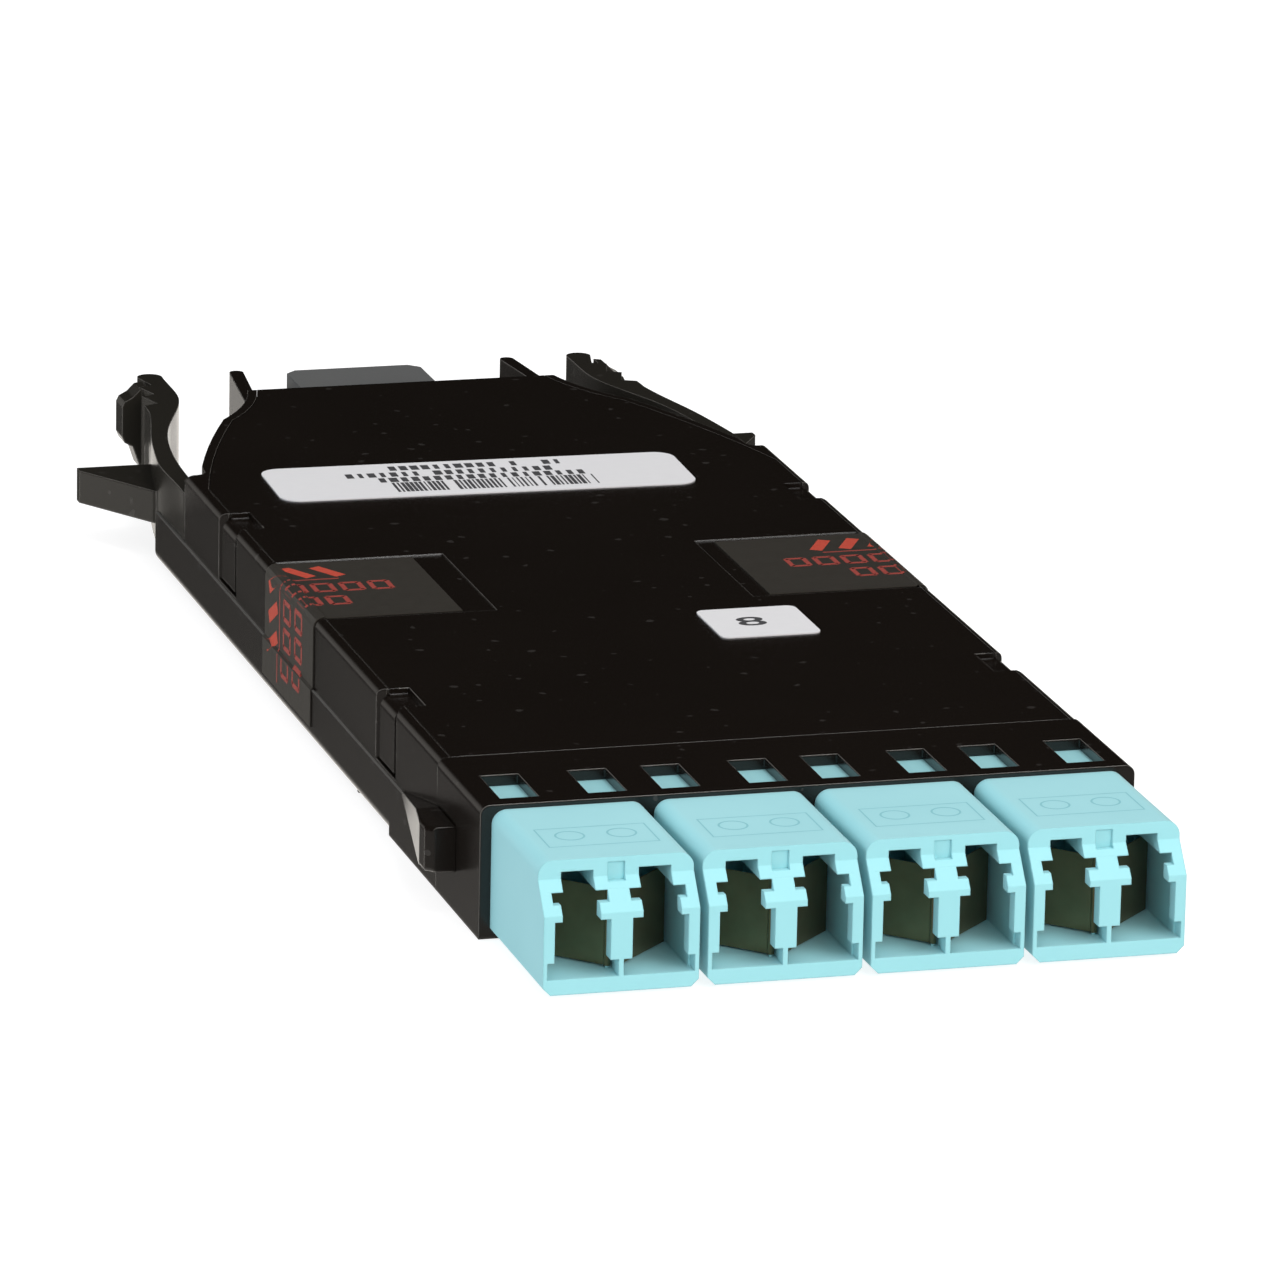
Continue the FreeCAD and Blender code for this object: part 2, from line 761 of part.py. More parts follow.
def mpo_adapter():
    """Adapter of the rear ribbon port, held behind the tray's rear wall by its flange."""
    half = mpo_width / 2
    body = box(mpo_offset - half, mpo_offset + half, mpo_front, mpo_rear, floor_thick, mpo_top)
    rear_edges = [e for e in body.Edges if e.BoundBox.YMin > mpo_rear - 1e-4 and e.BoundBox.YLength < 1e-4
                  and e.BoundBox.ZLength > 1e-4]
    body = body.makeChamfer(mpo_chamfer, rear_edges)
    back = body_length - side_wall - fit_gap
    flange = box(mpo_offset - half - mpo_flange, mpo_offset + half + mpo_flange,
                 back - mpo_flange_thick, back, floor_thick, mpo_top - mpo_flange_drop)
    cuts = []
    for y0, y1 in ((mpo_front - 1, mpo_middle), (mpo_middle + mpo_middle_wall, mpo_rear + 1)):
        cuts.append(box(mpo_offset - mpo_port_width / 2, mpo_offset + mpo_port_width / 2, y0, y1,
                        mpo_axis - mpo_port_height / 2, mpo_axis + mpo_port_height / 2))
    wide = mt_width / 2 + plug_clearance
    high = mt_height / 2 + plug_clearance
    cuts.append(box(mpo_offset - wide, mpo_offset + wide, mpo_front, mpo_rear,
                    mpo_axis - high, mpo_axis + high))
    return joined([body, flange]).cut(Part.makeCompound(cuts))


def mt_block():
    """Ferrule block of the ribbon plug."""
    front = mpo_middle + mpo_middle_wall + mt_proud
    return box(mpo_offset - mt_width / 2, mpo_offset + mt_width / 2, front - mt_length, front,
               mpo_axis - mt_height / 2, mpo_axis + mt_height / 2)


def guide_pins():
    """The ferrule's two guide pins."""
    front = mpo_middle + mpo_middle_wall + mt_proud
    pins = []
    for x in (mpo_offset - guide_pin_pitch / 2, mpo_offset + guide_pin_pitch / 2):
        pins.append(rod(guide_pin_radius, point(x, front - mt_length + 1, mpo_axis),
                        point(x, front + guide_pin_proud, mpo_axis)))
    return pins


def mpo_ferrule():
    return mt_block().cut(Part.makeCompound(guide_pins()))


def mpo_plug():
    """Housing of the ribbon plug inside the case."""
    end = mpo_middle - fit_gap
    body = box(mpo_offset - mpo_plug_width / 2, mpo_offset + mpo_plug_width / 2, end - mpo_plug_length, end,
               mpo_axis - mpo_plug_height / 2, mpo_axis + mpo_plug_height / 2)
    return body.cut(mt_block())


def mpo_boot():
    end = mpo_middle - fit_gap - mpo_plug_length
    return box(mpo_offset - mpo_boot_width / 2, mpo_offset + mpo_boot_width / 2,
               end - mpo_boot_length + fit_gap, end,
               mpo_axis - mpo_boot_height / 2, mpo_axis + mpo_boot_height / 2)


# ---------------------------------------------------------------- latch levers

def lever_point(inset, back):
    """Point of the lever's plan, in from the side of the case and behind the lever's root."""
    return point(body_half - inset, lever_root + back)


def smooth_line(points):
    curve = Part.BSplineCurve()
    curve.interpolate(points)
    return curve.toShape()


def lever_face():
    """Plan of the right lever: a curved arm, three saw teeth and a round head."""
    head = point(body_half - head_inset, lever_tip - head_radius)
    left = point(head.x - head_radius, head.y)
    arm_inside = [lever_point(*s) for s in lever_inside]
    arm_outside = [lever_point(*s) for s in lever_outside]
    edges = [smooth_line([left] + arm_inside), smooth_line(arm_outside)]
    last = arm_outside[-1]
    for k in range(tooth_count):
        crest = lever_point(first_tooth[0] + tooth_drift * k, first_tooth[1] + tooth_pitch * k)
        valley = point(crest.x - tooth_depth, crest.y + tooth_run)
        edges.append(Part.LineSegment(last, crest).toShape())
        edges.append(Part.LineSegment(crest, valley).toShape())
        last = valley
    right = point(head.x + head_radius, head.y)
    edges.append(Part.LineSegment(last, right).toShape())
    edges.append(Part.Arc(right, point(head.x, lever_tip), left).toShape())
    edges.append(Part.LineSegment(arm_inside[-1], arm_outside[0]).toShape())
    return Part.Face(Part.Wire(Part.__sortEdges__(edges)))


def barb():
    """Wedge on the lever that catches in the enclosure's rail."""
    back = barb_tip + barb_land
    front = barb_tip - barb_run
    return plan_prism([(body_half - barb_root, front - barb_land), (body_half - ledge_step, front),
                       (body_half + barb_reach, barb_tip), (body_half + barb_reach, back),
                       (body_half - barb_depth, back)], barb_floor, barb_top)


def latch_lever():
    """Right latch lever with its root knuckle, barb, finger teeth and pad."""
    foot_top = ledge_height + knuckle_gap
    upper = lever_face().extrude(point(0, 0, lever_top - foot_top))
    upper.translate(point(0, 0, foot_top))
    low_start = lever_foot_end + 2 * knuckle_gap
    lower = lever_face().extrude(point(0, 0, lever_top - lever_floor))
    lower.translate(point(0, 0, lever_floor))
    lower = lower.common(box(0, body_half + 1, low_start, lever_tip + 1, lever_floor, lever_top))
    knuckle = rod(knuckle_radius, point(knuckle_x, lever_root, foot_top),
                  point(knuckle_x, lever_root, lever_top))
    middle = body_length + pad_reach
    pad = front_prism([(body_half - inset, z) for inset, z in pad_outline],
                      middle - pad_length / 2, middle + pad_length / 2)
    return joined([upper, lower, knuckle, barb(), pad])


# ---------------------------------------------------------------- seals and labels

def seal(inner, start):
    """Thin film from the cover's top, over the tray's wall and down its side."""
    side = body_half - ledge_step
    top = body_height - seal_recess
    seam = body_half - seam_inset
    bend = side - edge_round

    def skin(grow):
        """Corners of one face of the film, from the cover to its foot."""
        reach = edge_round + grow
        arc = [(bend + reach * math.sin(a), body_height - edge_round + reach * math.cos(a))
               for a in [math.radians(d) for d in (0, 22.5, 45, 67.5, 90)]]
        return [(inner, top + grow), (seam - seal_recess, top + grow), (seam, body_height + grow)] + arc + [
            (side + grow, ledge_height + ledge_step), (body_half + grow, ledge_height),
            (body_half + grow, seal_foot)]

    outline = skin(hair_gap) + list(reversed(skin(hair_gap + film)))
    return front_prism(outline, start, start + seal_length)


def label(size, centre, radius, turn=0.0):
    """Flat label on the cover."""
    plate = rounded_plate(size, radius, body_height, body_height + film)
    plate.rotate(point(0, 0, 0), point(0, 0, 1), turn)
    plate.translate(point(centre[0], centre[1], 0))
    return plate


# ---------------------------------------------------------------- assembly

def moved(shape, x):
    copy = shape.copy()
    copy.translate(point(x, 0, 0))
    return copy


def both_ports(shape, x):
    """A piece at each port of the adapter centred at x."""
    return Part.makeCompound([moved(shape, x), moved(mirrored(shape), x)])


def all_parts():
    parts = {
        "base_tray": base_tray(),
        "top_cover": top_cover(),
        "front_bezel": front_bezel(),
        "mpo_adapter": mpo_adapter(),
        "mpo_plug": mpo_plug(),
        "mpo_ferrule": mpo_ferrule(),
        "mpo_guide_pins": Part.makeCompound(guide_pins()),
        "mpo_boot": mpo_boot(),
        "fibre_ribbon": fibre_ribbon(),
        "fanout_block": fanout_block(),
        "fibre_legs": fibre_legs(),
        "latch_lever_right": latch_lever(),
        "latch_lever_left": mirrored(latch_lever()),
        "seal_left": mirrored(seal(left_seal_inner, left_seal_start)),
        "seal_right": seal(right_seal_inner, right_seal_start),
        "id_label": label(id_label_size, id_label_centre, id_label_round, id_label_turn),
        "polarity_label": label(polarity_label_size, polarity_label_centre, polarity_label_round),
    }
    whole_adapter = adapter()
    leaf = shutter_leaf()
    plug = inner_plug()
    for k, x in enumerate(adapter_centres, 1):
        parts[f"adapter_{k}"] = moved(whole_adapter, x)
        parts[f"shutter_{k}_left"] = moved(mirrored(leaf), x)
        parts[f"shutter_{k}_right"] = moved(leaf, x)
        parts[f"inner_plug_{k}_left"] = moved(mirrored(plug), x)
        parts[f"inner_plug_{k}_right"] = moved(plug, x)
        parts[f"sleeves_{k}"] = both_ports(alignment_sleeve(), x)
        parts[f"ferrules_{k}"] = both_ports(inner_ferrule(), x)
        parts[f"boots_{k}"] = both_ports(inner_boot(), x)
    return parts


os.makedirs("parts", exist_ok=True)
for name, shape in all_parts().items():
    shape.translate(point(0, -y_middle, 0))
    shape.exportStep(f"parts/{name}.step")
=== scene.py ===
"""Looks of a fibre cassette: moulded plastic, shuttered ports, film seals and printed labels."""
import bpy
import json
import math
from mathutils import Matrix, Vector


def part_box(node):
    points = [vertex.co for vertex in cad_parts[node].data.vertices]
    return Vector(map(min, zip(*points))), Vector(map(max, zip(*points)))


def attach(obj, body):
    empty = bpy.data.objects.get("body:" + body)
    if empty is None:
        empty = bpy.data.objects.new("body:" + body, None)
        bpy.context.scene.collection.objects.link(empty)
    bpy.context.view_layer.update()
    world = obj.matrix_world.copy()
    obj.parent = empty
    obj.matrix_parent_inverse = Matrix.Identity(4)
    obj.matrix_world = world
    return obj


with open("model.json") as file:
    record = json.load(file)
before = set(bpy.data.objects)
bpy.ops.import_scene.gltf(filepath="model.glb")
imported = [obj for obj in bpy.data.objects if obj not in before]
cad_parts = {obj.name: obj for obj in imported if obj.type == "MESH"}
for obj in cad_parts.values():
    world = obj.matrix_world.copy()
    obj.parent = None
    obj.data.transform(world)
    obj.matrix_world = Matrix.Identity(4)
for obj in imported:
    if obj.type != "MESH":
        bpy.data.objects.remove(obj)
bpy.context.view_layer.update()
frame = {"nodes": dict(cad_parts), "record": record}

MM = 0.001


# ---------------------------------------------------------------- shader maths

EDGE_SAMPLES = 6
EDGE_REACH = 0.5 * MM


class Wire:
    """One socket of a material's tree, so that shader maths reads as plain sums."""

    def __init__(self, finish, socket):
        self.finish = finish
        self.socket = socket

    def __add__(self, other):
        return self.finish.maths("ADD", self, other)

    def __sub__(self, other):
        return self.finish.maths("SUBTRACT", self, other)

    def __rsub__(self, other):
        return self.finish.maths("SUBTRACT", other, self)

    def __mul__(self, other):
        return self.finish.maths("MULTIPLY", self, other)

    def __gt__(self, other):
        return self.finish.maths("GREATER_THAN", self, other)

    def __lt__(self, other):
        return self.finish.maths("LESS_THAN", self, other)

    __radd__ = __add__
    __rmul__ = __mul__


class Finish:
    """A material under construction, read in the object's own metres."""

    def __init__(self, name):
        self.material = bpy.data.materials.new(name)
        self.material.use_nodes = True
        self.tree = self.material.node_tree
        self.tree.nodes.clear()
        self.output = self.tree.nodes.new("ShaderNodeOutputMaterial")
        self.place = self.node("ShaderNodeTexCoord", {}, {})["Object"]

    def node(self, kind, settings, values):
        """Adds a node, sets it up, fills its sockets with values or links, returns its outputs."""
        made = self.tree.nodes.new(kind)
        for key, setting in settings.items():
            if key == "stops":
                self.set_stops(made.color_ramp, setting)
            else:
                setattr(made, key, setting)
        for key, value in values.items():
            if isinstance(value, Wire):
                self.tree.links.new(value.socket, made.inputs[key])
            else:
                made.inputs[key].default_value = value
        return Outputs(self, made)

    def set_stops(self, ramp, stops):
        while len(ramp.elements) < len(stops):
            ramp.elements.new(1.0)
        for element, (position, colour) in zip(ramp.elements, stops):
            element.position = position
            element.color = colour

    def maths(self, operation, first, second=None):
        values = {0: first} if second is None else {0: first, 1: second}
        return self.node("ShaderNodeMath", {"operation": operation}, values)[0]

    def size_of(self, value):
        """A number without its sign."""
        return self.maths("ABSOLUTE", value)

    def greater(self, first, second):
        return self.maths("MAXIMUM", first, second)

    def ramp(self, value, low, high, first, last, kind="LINEAR"):
        """A change from first to last as a value goes from low to high, flat outside."""
        return self.node("ShaderNodeMapRange", {"interpolation_type": kind},
                         {0: value, 1: low, 2: high, 3: first, 4: last})[0]

    def noise(self, scale, detail=2.0, roughness=0.5, place=None):
        return self.node("ShaderNodeTexNoise", {}, {"Vector": place or self.place, "Scale": scale,
                                                    "Detail": detail, "Roughness": roughness})["Fac"]

    def stretched(self, scale):
        """The object's own place, scaled along each axis."""
        return self.node("ShaderNodeMapping", {"vector_type": "POINT"},
                         {"Vector": self.place, "Scale": scale})[0]

    def blend(self, factor, first, second):
        values = {0: factor, 6: first, 7: second}
        return self.node("ShaderNodeMix", {"data_type": "RGBA"}, values)[2]

    def axes(self, place=None):
        """A place, the object's own unless another is given, split into its three numbers."""
        split = self.node("ShaderNodeSeparateXYZ", {}, {0: place or self.place})
        return split[0], split[1], split[2]

    def facing(self):
        """The way the flat face points."""
        return self.node("ShaderNodeNewGeometry", {}, {})["True Normal"]

    def rounded_normal(self, radius):
        return self.node("ShaderNodeBevel", {"samples": EDGE_SAMPLES}, {"Radius": radius})[0]

    def painted_edge_highlight(self, radius):
        """Painted highlight mask: one on outer edges, where two faces meet at more than a slight
        angle, else nought.
        """
        likeness = self.node("ShaderNodeVectorMath", {"operation": "DOT_PRODUCT"},
                             {0: self.rounded_normal(radius), 1: self.facing()})["Value"]
        edge = self.ramp(likeness, 0.98, 0.86, 0.0, 1.0)
        open_air = self.node("ShaderNodeAmbientOcclusion", {"samples": EDGE_SAMPLES},
                             {"Distance": EDGE_REACH})["AO"]
        return edge * self.ramp(open_air, 0.70, 0.92, 0.0, 1.0)

    def bump(self, height, distance, strength=1.0, soft_edge=None):
        values = {"Height": height, "Distance": distance, "Strength": strength}
        if soft_edge:
            values["Normal"] = self.rounded_normal(soft_edge)
        return self.node("ShaderNodeBump", {}, values)[0]

    def surface(self, **values):
        """Finishes the material with one Principled shader, keys written with _ for spaces."""
        named = {key.replace("_", " "): value for key, value in values.items()}
        shader = self.node("ShaderNodeBsdfPrincipled", {}, named)
        self.tree.links.new(shader[0].socket, self.output.inputs["Surface"])
        return self.material


class Outputs:
    """The outputs of one node, by number or name."""

    def __init__(self, finish, made):
        self.finish = finish
        self.made = made

    def __getitem__(self, key):
        return Wire(self.finish, self.made.outputs[key])


# ---------------------------------------------------------------- materials

LEDGE_HEIGHT = 4.75 * MM
LEDGE_HIGHLIGHT_MARGIN = 0.03 * MM
UPWARD = 0.7
TAPER_START = 20.0 * MM
BLACK_TONE = (0.0071, 0.0051, 0.0038)
EDGE_HIGHLIGHT_TONE = (0.20, 0.19, 0.175, 1)
LEDGE_HIGHLIGHT_TONE = (0.15, 0.145, 0.135, 1)
DUST_TONE = (0.09, 0.085, 0.08, 1)
EDGE_HIGHLIGHT_WIDTH = 0.14 * MM
CASE_SOFT_EDGE = 0.25 * MM


def moulded_black(name="moulded_black", tone=BLACK_TONE, seam=None):
    """Near-black moulded plastic with a painted highlight on its edges and its ledge, a fine spark
    grain and a little dust.

    With a seam, only the edges nearer the middle than it, and in front of the taper, get the painted
    highlight.
    """
    f = Finish(name)
    cloud = f.noise(scale=55.0, detail=3.0)
    grain = f.noise(scale=5200.0)
    low, high = ([part * share for part in tone] + [1] for share in (0.85, 1.15))
    colour = f.blend(cloud, low, high)
    across, along, height = f.axes()
    # Painted highlight: a patchy lighter grey on outer edges stands in for the glints of light on
    # rounded edges.
    edge_highlight = f.painted_edge_highlight(EDGE_HIGHLIGHT_WIDTH) * (0.4 + f.noise(scale=700.0) * 0.6)
    if seam:
        edge_highlight = edge_highlight * (f.size_of(across) < seam) * (along < TAPER_START)
    colour = f.blend(edge_highlight, colour, EDGE_HIGHLIGHT_TONE)
    # Painted highlight: a lighter band on the upward face of the ledge stands in for the glint along
    # its edge.
    upward = f.axes(f.facing())[2] > UPWARD
    ledge_highlight = (f.size_of(height - LEDGE_HEIGHT) < LEDGE_HIGHLIGHT_MARGIN) * upward
    colour = f.blend(ledge_highlight, colour, LEDGE_HIGHLIGHT_TONE)
    dust = f.noise(scale=900.0, detail=0.0) > 0.80
    colour = f.blend(dust * 0.25, colour, DUST_TONE)
    spark = grain * 0.6 + f.noise(scale=300.0) * 0.4
    return f.surface(Base_Color=colour, Roughness=0.19 + cloud * 0.06 + grain * 0.04,
                     Normal=f.bump(spark, 0.003 * MM, 0.5, CASE_SOFT_EDGE))


ADAPTER_SOFT_EDGE = 0.16 * MM
RIBBON_ADAPTER_SOFT_EDGE = 0.2 * MM


def aqua_plastic():
    """Pale aqua moulded plastic with a satin surface and faint flow marks."""
    f = Finish("aqua_plastic")
    cloud = f.noise(scale=120.0, detail=3.0)
    grain = f.noise(scale=4200.0)
    colour = f.blend(cloud, (0.285, 0.630, 0.680, 1), (0.320, 0.670, 0.720, 1))
    return f.surface(Base_Color=colour, Roughness=0.40 + grain * 0.08 + cloud * 0.05,
                     Normal=f.bump(grain, 0.004 * MM, 0.5, ADAPTER_SOFT_EDGE),
                     Specular_IOR_Level=0.4, Sheen_Weight=0.25, Sheen_Roughness=0.4)


def shutter_metal():
    """Dark spring sheet with a fine upright rolling grain."""
    f = Finish("shutter_metal")
    streak = f.noise(scale=1.0, detail=3.0, place=f.stretched((2600.0, 2600.0, 130.0)))
    stain = f.noise(scale=420.0, detail=3.0)
    colour = f.blend(stain, (0.150, 0.125, 0.066, 1), (0.225, 0.182, 0.100, 1))
    return f.surface(Base_Color=colour, Metallic=0.85, Roughness=0.26 + streak * 0.14,
                     Normal=f.bump(streak, 0.004 * MM, 0.5))


def grey_plastic():
    """Mid-grey moulded plastic of the rear adapter."""
    f = Finish("grey_plastic")
    cloud = f.noise(scale=150.0, detail=3.0)
    grain = f.noise(scale=3800.0)
    colour = f.blend(cloud, (0.105, 0.108, 0.108, 1), (0.125, 0.127, 0.125, 1))
    return f.surface(Base_Color=colour, Roughness=0.45 + grain * 0.1, Specular_IOR_Level=0.4,
                     Normal=f.bump(grain, 0.005 * MM, 0.5, RIBBON_ADAPTER_SOFT_EDGE))


def pale_plastic(name, low, high):
    """Plain moulded plastic for the pieces inside the case."""
    f = Finish(name)
    cloud = f.noise(scale=180.0, detail=3.0)
    grain = f.noise(scale=3000.0, detail=1.0)
    return f.surface(Base_Color=f.blend(cloud, low, high), Roughness=0.42 + grain * 0.12,
                     Normal=f.bump(grain, 0.004 * MM, 0.4))


def polished(name, low, high, metallic, roughness):
    """Ceramic or steel with very fine turning marks."""
    f = Finish(name)
    mark = f.noise(scale=1.0, place=f.stretched((900.0, 7000.0, 900.0)))
    return f.surface(Base_Color=f.blend(mark, low, high), Metallic=metallic,
                     Roughness=roughness + mark * 0.08, Normal=f.bump(mark, 0.002 * MM, 0.3))


def film():
    """Dark smoky film of the seals, slightly rippled."""
    f = Finish("seal_film")
    ripple = f.noise(scale=260.0, detail=3.0)
    haze = f.noise(scale=1400.0)
    colour = f.blend(haze, (0.034, 0.031, 0.026, 1), (0.044, 0.040, 0.034, 1))
    return f.surface(Base_Color=colour, Roughness=0.30 + haze * 0.10,
                     Normal=f.bump(ripple, 0.05 * MM, 0.35), Specular_IOR_Level=0.4)


def label_paper():
    """White printed label stock with a faint fibre."""
    f = Finish("label_paper")
    fibre = f.noise(scale=1.0, detail=3.0, place=f.stretched((700.0, 2400.0, 700.0)))
    colour = f.blend(fibre, (0.655, 0.655, 0.670, 1), (0.695, 0.695, 0.705, 1))
    return f.surface(Base_Color=colour, Roughness=0.52 + fibre * 0.1, Specular_IOR_Level=0.3,
                     Normal=f.bump(fibre, 0.004 * MM, 0.4))


def ink(name, low, high):
    """Printed colour, a little uneven where it went on thin; also the painted shade of the adapters'
    marks.
    """
    f = Finish(name)
    wear = f.noise(scale=2600.0, detail=3.0)
    return f.surface(Base_Color=f.blend(wear, low, high), Roughness=0.45 + wear * 0.15,
                     Normal=f.bump(wear, 0.002 * MM, 0.3), Specular_IOR_Level=0.3)


COVER_SEAM = 1.6 * MM

case_black = moulded_black()
# The cover's painted edge highlight is kept inside its seam and in front of the taper.
cover_black = moulded_black("cover_black", seam=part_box("top_cover")[1][0] - COVER_SEAM)
# Painted light: a lighter copy of the case black on the levers, standing in for the light they
# catch.
lever_lit_black = moulded_black("lever_lit_black", tone=(0.019, 0.0172, 0.0138))
black_ink = ink("black_ink", (0.045, 0.045, 0.048, 1), (0.090, 0.090, 0.095, 1))
red_ink = ink("red_ink", (0.42, 0.050, 0.030, 1), (0.52, 0.075, 0.045, 1))
# Painted shade: a darker aqua for lines that stand in for the shade at the ejector rings and the
# panel's edges.
aqua_painted_shade = ink("aqua_painted_shade", (0.225, 0.520, 0.575, 1), (0.250, 0.560, 0.615, 1))
faint_red_ink = ink("faint_red_ink", (0.26, 0.045, 0.035, 1), (0.34, 0.060, 0.048, 1))

SLOT_FINISHES = {
    "case": case_black,
    "adapter_aqua": aqua_plastic(),
    "leaf_metal": shutter_metal(),
    "rear_adapter": grey_plastic(),
    "inner_housing": pale_plastic("inner_housing", (0.52, 0.52, 0.50, 1), (0.60, 0.60, 0.58, 1)),
    "ferrule": pale_plastic("ferrule_resin", (0.020, 0.020, 0.022, 1), (0.035, 0.035, 0.038, 1)),
    "sleeve_ceramic": polished("sleeve_ceramic", (0.78, 0.77, 0.73, 1), (0.86, 0.85, 0.82, 1),
                               metallic=0.0, roughness=0.18),
    "pin_steel": polished("pin_steel", (0.55, 0.55, 0.56, 1), (0.68, 0.68, 0.69, 1),
                          metallic=1.0, roughness=0.16),
    "boot": pale_plastic("boot_rubber", (0.68, 0.68, 0.66, 1), (0.78, 0.78, 0.76, 1)),
    "fibre": pale_plastic("fibre_jacket", (0.12, 0.42, 0.47, 1), (0.17, 0.50, 0.56, 1)),
    "seal_film": film(),
    "label_white": label_paper(),
}

NODE_FINISHES = {"top_cover": cover_black, "latch_lever_left": lever_lit_black,
                 "latch_lever_right": lever_lit_black}


def dress_nodes():
    """Gives every CAD node its own finish, or that of its slot."""
    for part in frame["record"]["subparts"]:
        piece = frame["nodes"][part["node"]]
        piece.data.materials.clear()
        slot_finish = SLOT_FINISHES[part["material_slot"]]
        piece.data.materials.append(NODE_FINISHES.get(part["node"], slot_finish))


# ---------------------------------------------------------------- pieces

def mesh_piece(name, corners, faces, material, body="case"):
    """A plain mesh piece that rides on one body."""
    mesh = bpy.data.meshes.new(name)
    mesh.from_pydata(corners, [], faces)
    mesh.update()
    return keep_piece(bpy.data.objects.new(name, mesh), material, body)


def keep_piece(piece, material, body):
    """Puts a piece in the scene, on its body and in its slot."""
    if not piece.users_collection:
        bpy.context.scene.collection.objects.link(piece)
    if material:
        piece.data.materials.clear()
        piece.data.materials.append(material)
    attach(piece, body)
    return piece


def print_tree(material):
    """Geometry Nodes that lay a row of small bars with seeded widths."""
    tree = bpy.data.node_groups.new("printed_row", "GeometryNodeTree")
    face = tree.interface
    whole = ("Count", "Seed")
    for name in ("Count", "Pitch", "Height", "Thinnest", "Widest", "Kept", "Seed"):
        kind = "NodeSocketInt" if name in whole else "NodeSocketFloat"
        face.new_socket(name, in_out="INPUT", socket_type=kind)
    face.new_socket("Geometry", in_out="OUTPUT", socket_type="NodeSocketGeometry")
    add = tree.nodes.new
    link = tree.links.new
    given = add("NodeGroupInput")
    result = add("NodeGroupOutput")
    line = add("GeometryNodeMeshLine")
    step = add("ShaderNodeCombineXYZ")
    link(given.outputs["Pitch"], step.inputs["X"])
    link(given.outputs["Count"], line.inputs["Count"])
    link(step.outputs[0], line.inputs["Offset"])
    bar = add("GeometryNodeMeshGrid")
    for axis in "XY":
        bar.inputs["Size " + axis].default_value = 1.0
        bar.inputs["Vertices " + axis].default_value = 2
    width = add("FunctionNodeRandomValue")
    width.data_type = "FLOAT"
    link(given.outputs["Thinnest"], width.inputs[2])
    link(given.outputs["Widest"], width.inputs[3])
    link(given.outputs["Seed"], width.inputs["Seed"])
    keep = add("FunctionNodeRandomValue")
    keep.data_type = "BOOLEAN"
    link(given.outputs["Kept"], keep.inputs["Probability"])
    link(given.outputs["Seed"], keep.inputs["Seed"])
    scale = add("ShaderNodeCombineXYZ")
    link(width.outputs[1], scale.inputs["X"])
    link(given.outputs["Height"], scale.inputs["Y"])
    scale.inputs["Z"].default_value = 1.0
    lay = add("GeometryNodeInstanceOnPoints")
    link(line.outputs[0], lay.inputs["Points"])
    link(keep.outputs[3], lay.inputs["Selection"])
    link(bar.outputs[0], lay.inputs["Instance"])
    link(scale.outputs[0], lay.inputs["Scale"])
    real = add("GeometryNodeRealizeInstances")
    link(lay.outputs[0], real.inputs[0])
    paint = add("GeometryNodeSetMaterial")
    paint.inputs["Material"].default_value = material
    link(real.outputs[0], paint.inputs[0])
    link(paint.outputs[0], result.inputs[0])
    return tree


def printed_row(name, tree, place, slot, **sizes):
    """One row of bars as a plain mesh at a place given by a matrix."""
    holder = bpy.data.objects.new(name + "_maker", bpy.data.meshes.new(name + "_maker"))
    bpy.context.scene.collection.objects.link(holder)
    modifier = holder.modifiers.new("row", "NODES")
    modifier.node_group = tree
    for item in tree.interface.items_tree:
        if item.in_out == "INPUT":
            modifier[item.identifier] = sizes[item.name]
    bpy.context.view_layer.update()
    made = holder.evaluated_get(bpy.context.evaluated_depsgraph_get())
    mesh = bpy.data.meshes.new_from_object(made)
    mesh.name = name
    mesh.transform(place)
    bpy.data.objects.remove(holder)
    return keep_piece(bpy.data.objects.new(name, mesh), None, "case")


INK_LIFT = 0.008 * MM
ID_LABEL_TURN = math.radians(-1.7)
# Rows of the long label: name, start and height of the row from the label's middle, number of bars
TEXT_ROWS = (("print_row_1", -8.0 * MM, 3.8 * MM, 17), ("print_row_2", -11.3 * MM, 1.8 * MM, 19),
             ("print_row_3", -8.7 * MM, 0.0 * MM, 19))
TEXT_BARS = {"Pitch": 1.0 * MM, "Height": 1.45 * MM, "Thinnest": 0.35 * MM,
             "Widest": 0.78 * MM, "Kept": 0.92}
FIRST_SEED = 3
STRIPES_START = (-8.0 * MM, -2.5 * MM, 0)
STRIPES = {"Count": 46, "Pitch": 0.40 * MM, "Height": 3.1 * MM, "Thinnest": 0.10 * MM,
           "Widest": 0.36 * MM, "Kept": 0.86, "Seed": 11}


def label_print():
    """Plain rows of bars and a striped block where the long label is printed."""
    low, high = (Vector(corner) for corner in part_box("id_label"))
    centre = (low + high) / 2
    centre.z = high.z + INK_LIFT
    base = Matrix.Translation(centre) @ Matrix.Rotation(ID_LABEL_TURN, 4, "Z")
    tree = print_tree(black_ink)
    for seed, (name, start, up, count) in enumerate(TEXT_ROWS, FIRST_SEED):
        place = base @ Matrix.Translation((start, up, 0))
        printed_row(name, tree, place, "label_white", Count=count, Seed=seed, **TEXT_BARS)
    place = base @ Matrix.Translation(STRIPES_START)
    printed_row("print_stripes", tree, place, "label_white", **STRIPES)


NUMBER_SIZE = 4.2 * MM
NUMBER_WEIGHT = 0.06 * MM
NUMBER_SHIFT = -0.6 * MM
NUMBER_STRETCH = (1.25, 0.85, 1.0, 1.0)


